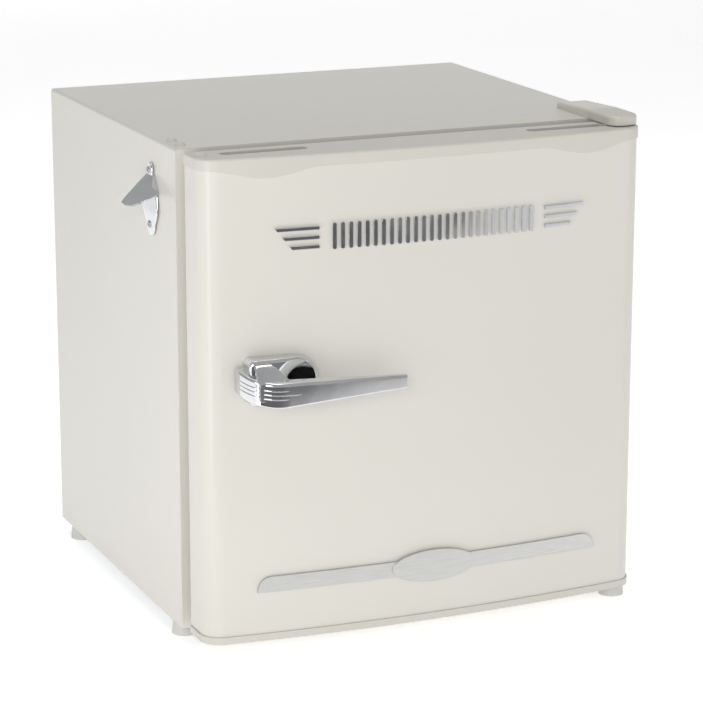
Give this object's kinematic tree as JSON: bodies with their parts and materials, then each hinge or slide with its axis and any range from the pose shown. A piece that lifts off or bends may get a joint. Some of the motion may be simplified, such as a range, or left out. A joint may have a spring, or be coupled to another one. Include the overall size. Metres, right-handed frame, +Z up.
{
  "type": "compact refrigerator",
  "caption": "Compact retro refrigerator: foamed steel cabinet, bowed hinged door with lever handle, ice box with flap, drip tray, glass shelf, compressor bay and side bottle opener.",
  "frame": {"origin": "on the floor under the middle of the whole outline, handle and bottle opener included", "axes": "+Z up, -Y towards the door's front, +X towards the hinge side"},
  "size_m": [0.4894, 0.482, 0.489],
  "materials": {
    "cream_enamel": "satin cream enamel on steel",
    "cream_plastic": "satin cream moulding",
    "zinc_steel": "zinc-plated sheet",
    "screw_steel": "bright zinc",
    "chrome": "polished chrome plate",
    "satin_trim": "fine brushed",
    "foam": "rigid foam",
    "liner_white": "satin white thermoformed",
    "clear_plastic": "clear moulding",
    "gasket_grey": "soft matt",
    "magnet": "ferrite-filled strip",
    "black_rubber": "matt",
    "bush_plastic": "plain",
    "foot_plastic": "plain white",
    "glass": "clear toughened",
    "aluminium": "roll-bonded sheet",
    "black_enamel": "gloss black",
    "iron": "bare",
    "black_plastic": "plain",
    "copper": "drawn copper"
  },
  "bodies": {
    "cabinet": {"cabinet_wrapper": "cream_enamel", "front_rail": "cream_enamel", "inner_liner": "liner_white", "base_pan": "zinc_steel", "bay_panel": "zinc_steel", "back_panel": "zinc_steel", "back_screws": "screw_steel", "cabinet_foam": "foam", "condenser_tubes": "copper", "hinge_backing_plates": "zinc_steel", "top_hinge_bracket": "zinc_steel", "top_hinge_pin": "screw_steel", "bottom_hinge_bracket": "zinc_steel", "bottom_hinge_pin": "screw_steel", "hinge_screws": "screw_steel", "hinge_cover": "cream_plastic", "cabinet_plugs": "cream_plastic", "foot_socket": "bush_plastic", "rear_feet": "foot_plastic", "bottle_opener": "chrome", "opener_screws": "screw_steel", "evaporator_box": "aluminium", "evaporator_hangers": "bush_plastic", "ice_box_frame": "liner_white", "tray_rails": "liner_white", "thermostat_housing": "liner_white", "thermostat_body": "zinc_steel", "compressor_base": "zinc_steel", "compressor_grommets": "black_rubber", "compressor_bolts": "screw_steel", "compressor_shell": "black_enamel", "compressor_pump": "iron", "relay_cover": "black_plastic", "cord_gland": "black_plastic", "filter_drier": "copper", "refrigerant_tubes": "copper"},
    "door": {"door_skin": "cream_enamel", "door_foam": "foam", "door_liner": "liner_white", "door_gasket": "gasket_grey", "gasket_magnets": "magnet", "door_top_cap": "cream_plastic", "door_bottom_cap": "cream_plastic", "hinge_bushes": "bush_plastic", "door_plugs": "cream_plastic", "upper_door_rack": "clear_plastic", "lower_door_rack": "clear_plastic", "handle_base": "chrome", "handle_lever": "chrome", "handle_screws": "screw_steel", "door_badge": "chrome", "door_trim": "satin_trim"},
    "ice_flap": {"ice_box_door": "clear_plastic"},
    "tray": {"drip_tray": "clear_plastic"},
    "shelf": {"shelf_glass": "glass", "shelf_trim": "liner_white"},
    "knob": {"thermostat_knob": "liner_white"},
    "left_foot": {"front_foot_left": "foot_plastic"},
    "right_foot": {"front_foot_right": "foot_plastic"}
  },
  "joints": [
    {"name": "door_hinge", "type": "hinge", "parent": "cabinet", "child": "door", "pos_m": [0.232, -0.17137, 0.25], "axis": [0, 0, 1], "range_deg": [0, 130]},
    {"name": "ice_flap_hinge", "type": "hinge", "parent": "cabinet", "child": "ice_flap", "pos_m": [-0.025, -0.03717, 0.429], "axis": [-1, 0, 0], "range_deg": [0, 80]},
    {"name": "tray_slide", "type": "slide", "parent": "cabinet", "child": "tray", "axis": [0, -1, 0], "range_m": [0, 0.082]},
    {"name": "shelf_slide", "type": "slide", "parent": "cabinet", "child": "shelf", "axis": [0, -1, 0], "range_m": [0, 0.07]},
    {"name": "thermostat_turn", "type": "hinge", "parent": "cabinet", "child": "knob", "pos_m": [0.175, -0.02237, 0.4155], "axis": [0, 1, 0], "range_deg": [0, 300]},
    {"name": "left_foot_screw", "type": "slide", "parent": "cabinet", "child": "left_foot", "axis": [0, 0, -1], "range_m": [0, 0.01]},
    {"name": "right_foot_screw", "type": "slide", "parent": "cabinet", "child": "right_foot", "axis": [0, 0, -1], "range_m": [0, 0.006]}
  ]
}
